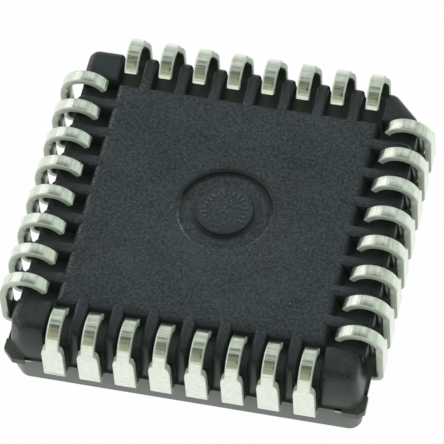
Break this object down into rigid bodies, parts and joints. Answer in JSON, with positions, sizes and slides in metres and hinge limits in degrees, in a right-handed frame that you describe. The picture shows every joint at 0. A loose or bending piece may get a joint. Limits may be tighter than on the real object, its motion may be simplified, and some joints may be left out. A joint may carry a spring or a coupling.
{
  "type": "plastic leaded chip carrier",
  "caption": "Square surface-mount chip carrier in dark resin, with tinned J leads hooked under all four sides, shown leads up.",
  "frame": {"origin": "centre of the marked face, which lies on the surface below", "axes": "+Z from the marked face towards the feet of the leads, +X and +Y towards the two sides that the index corner's chamfer joins"},
  "size_m": [0.0136, 0.0136, 0.0036],
  "materials": {
    "resin": "fine-grained moulded epoxy resin, charcoal, lightly sheened on the side walls",
    "lead_plating": "bright tin plate with fine marks across the bends",
    "pad_copper": "bare copper alloy sheet",
    "die_adhesive": "silver-filled adhesive",
    "silicon": "polished silicon",
    "bond_gold": "drawn gold wire"
  },
  "bodies": {
    "root": {"body": "resin", "lead_01": "lead_plating", "lead_02": "lead_plating", "lead_03": "lead_plating", "lead_04": "lead_plating", "lead_05": "lead_plating", "lead_06": "lead_plating", "lead_07": "lead_plating", "lead_08": "lead_plating", "lead_09": "lead_plating", "lead_10": "lead_plating", "lead_11": "lead_plating", "lead_12": "lead_plating", "lead_13": "lead_plating", "lead_14": "lead_plating", "lead_15": "lead_plating", "lead_16": "lead_plating", "lead_17": "lead_plating", "lead_18": "lead_plating", "lead_19": "lead_plating", "lead_20": "lead_plating", "lead_21": "lead_plating", "lead_22": "lead_plating", "lead_23": "lead_plating", "lead_24": "lead_plating", "lead_25": "lead_plating", "lead_26": "lead_plating", "lead_27": "lead_plating", "lead_28": "lead_plating", "lead_29": "lead_plating", "lead_30": "lead_plating", "lead_31": "lead_plating", "lead_32": "lead_plating", "die_pad": "pad_copper", "die_attach": "die_adhesive", "die": "silicon", "bond_wires_front": "bond_gold", "bond_wires_right": "bond_gold", "bond_wires_back": "bond_gold", "bond_wires_left": "bond_gold"}
  },
  "joints": []
}
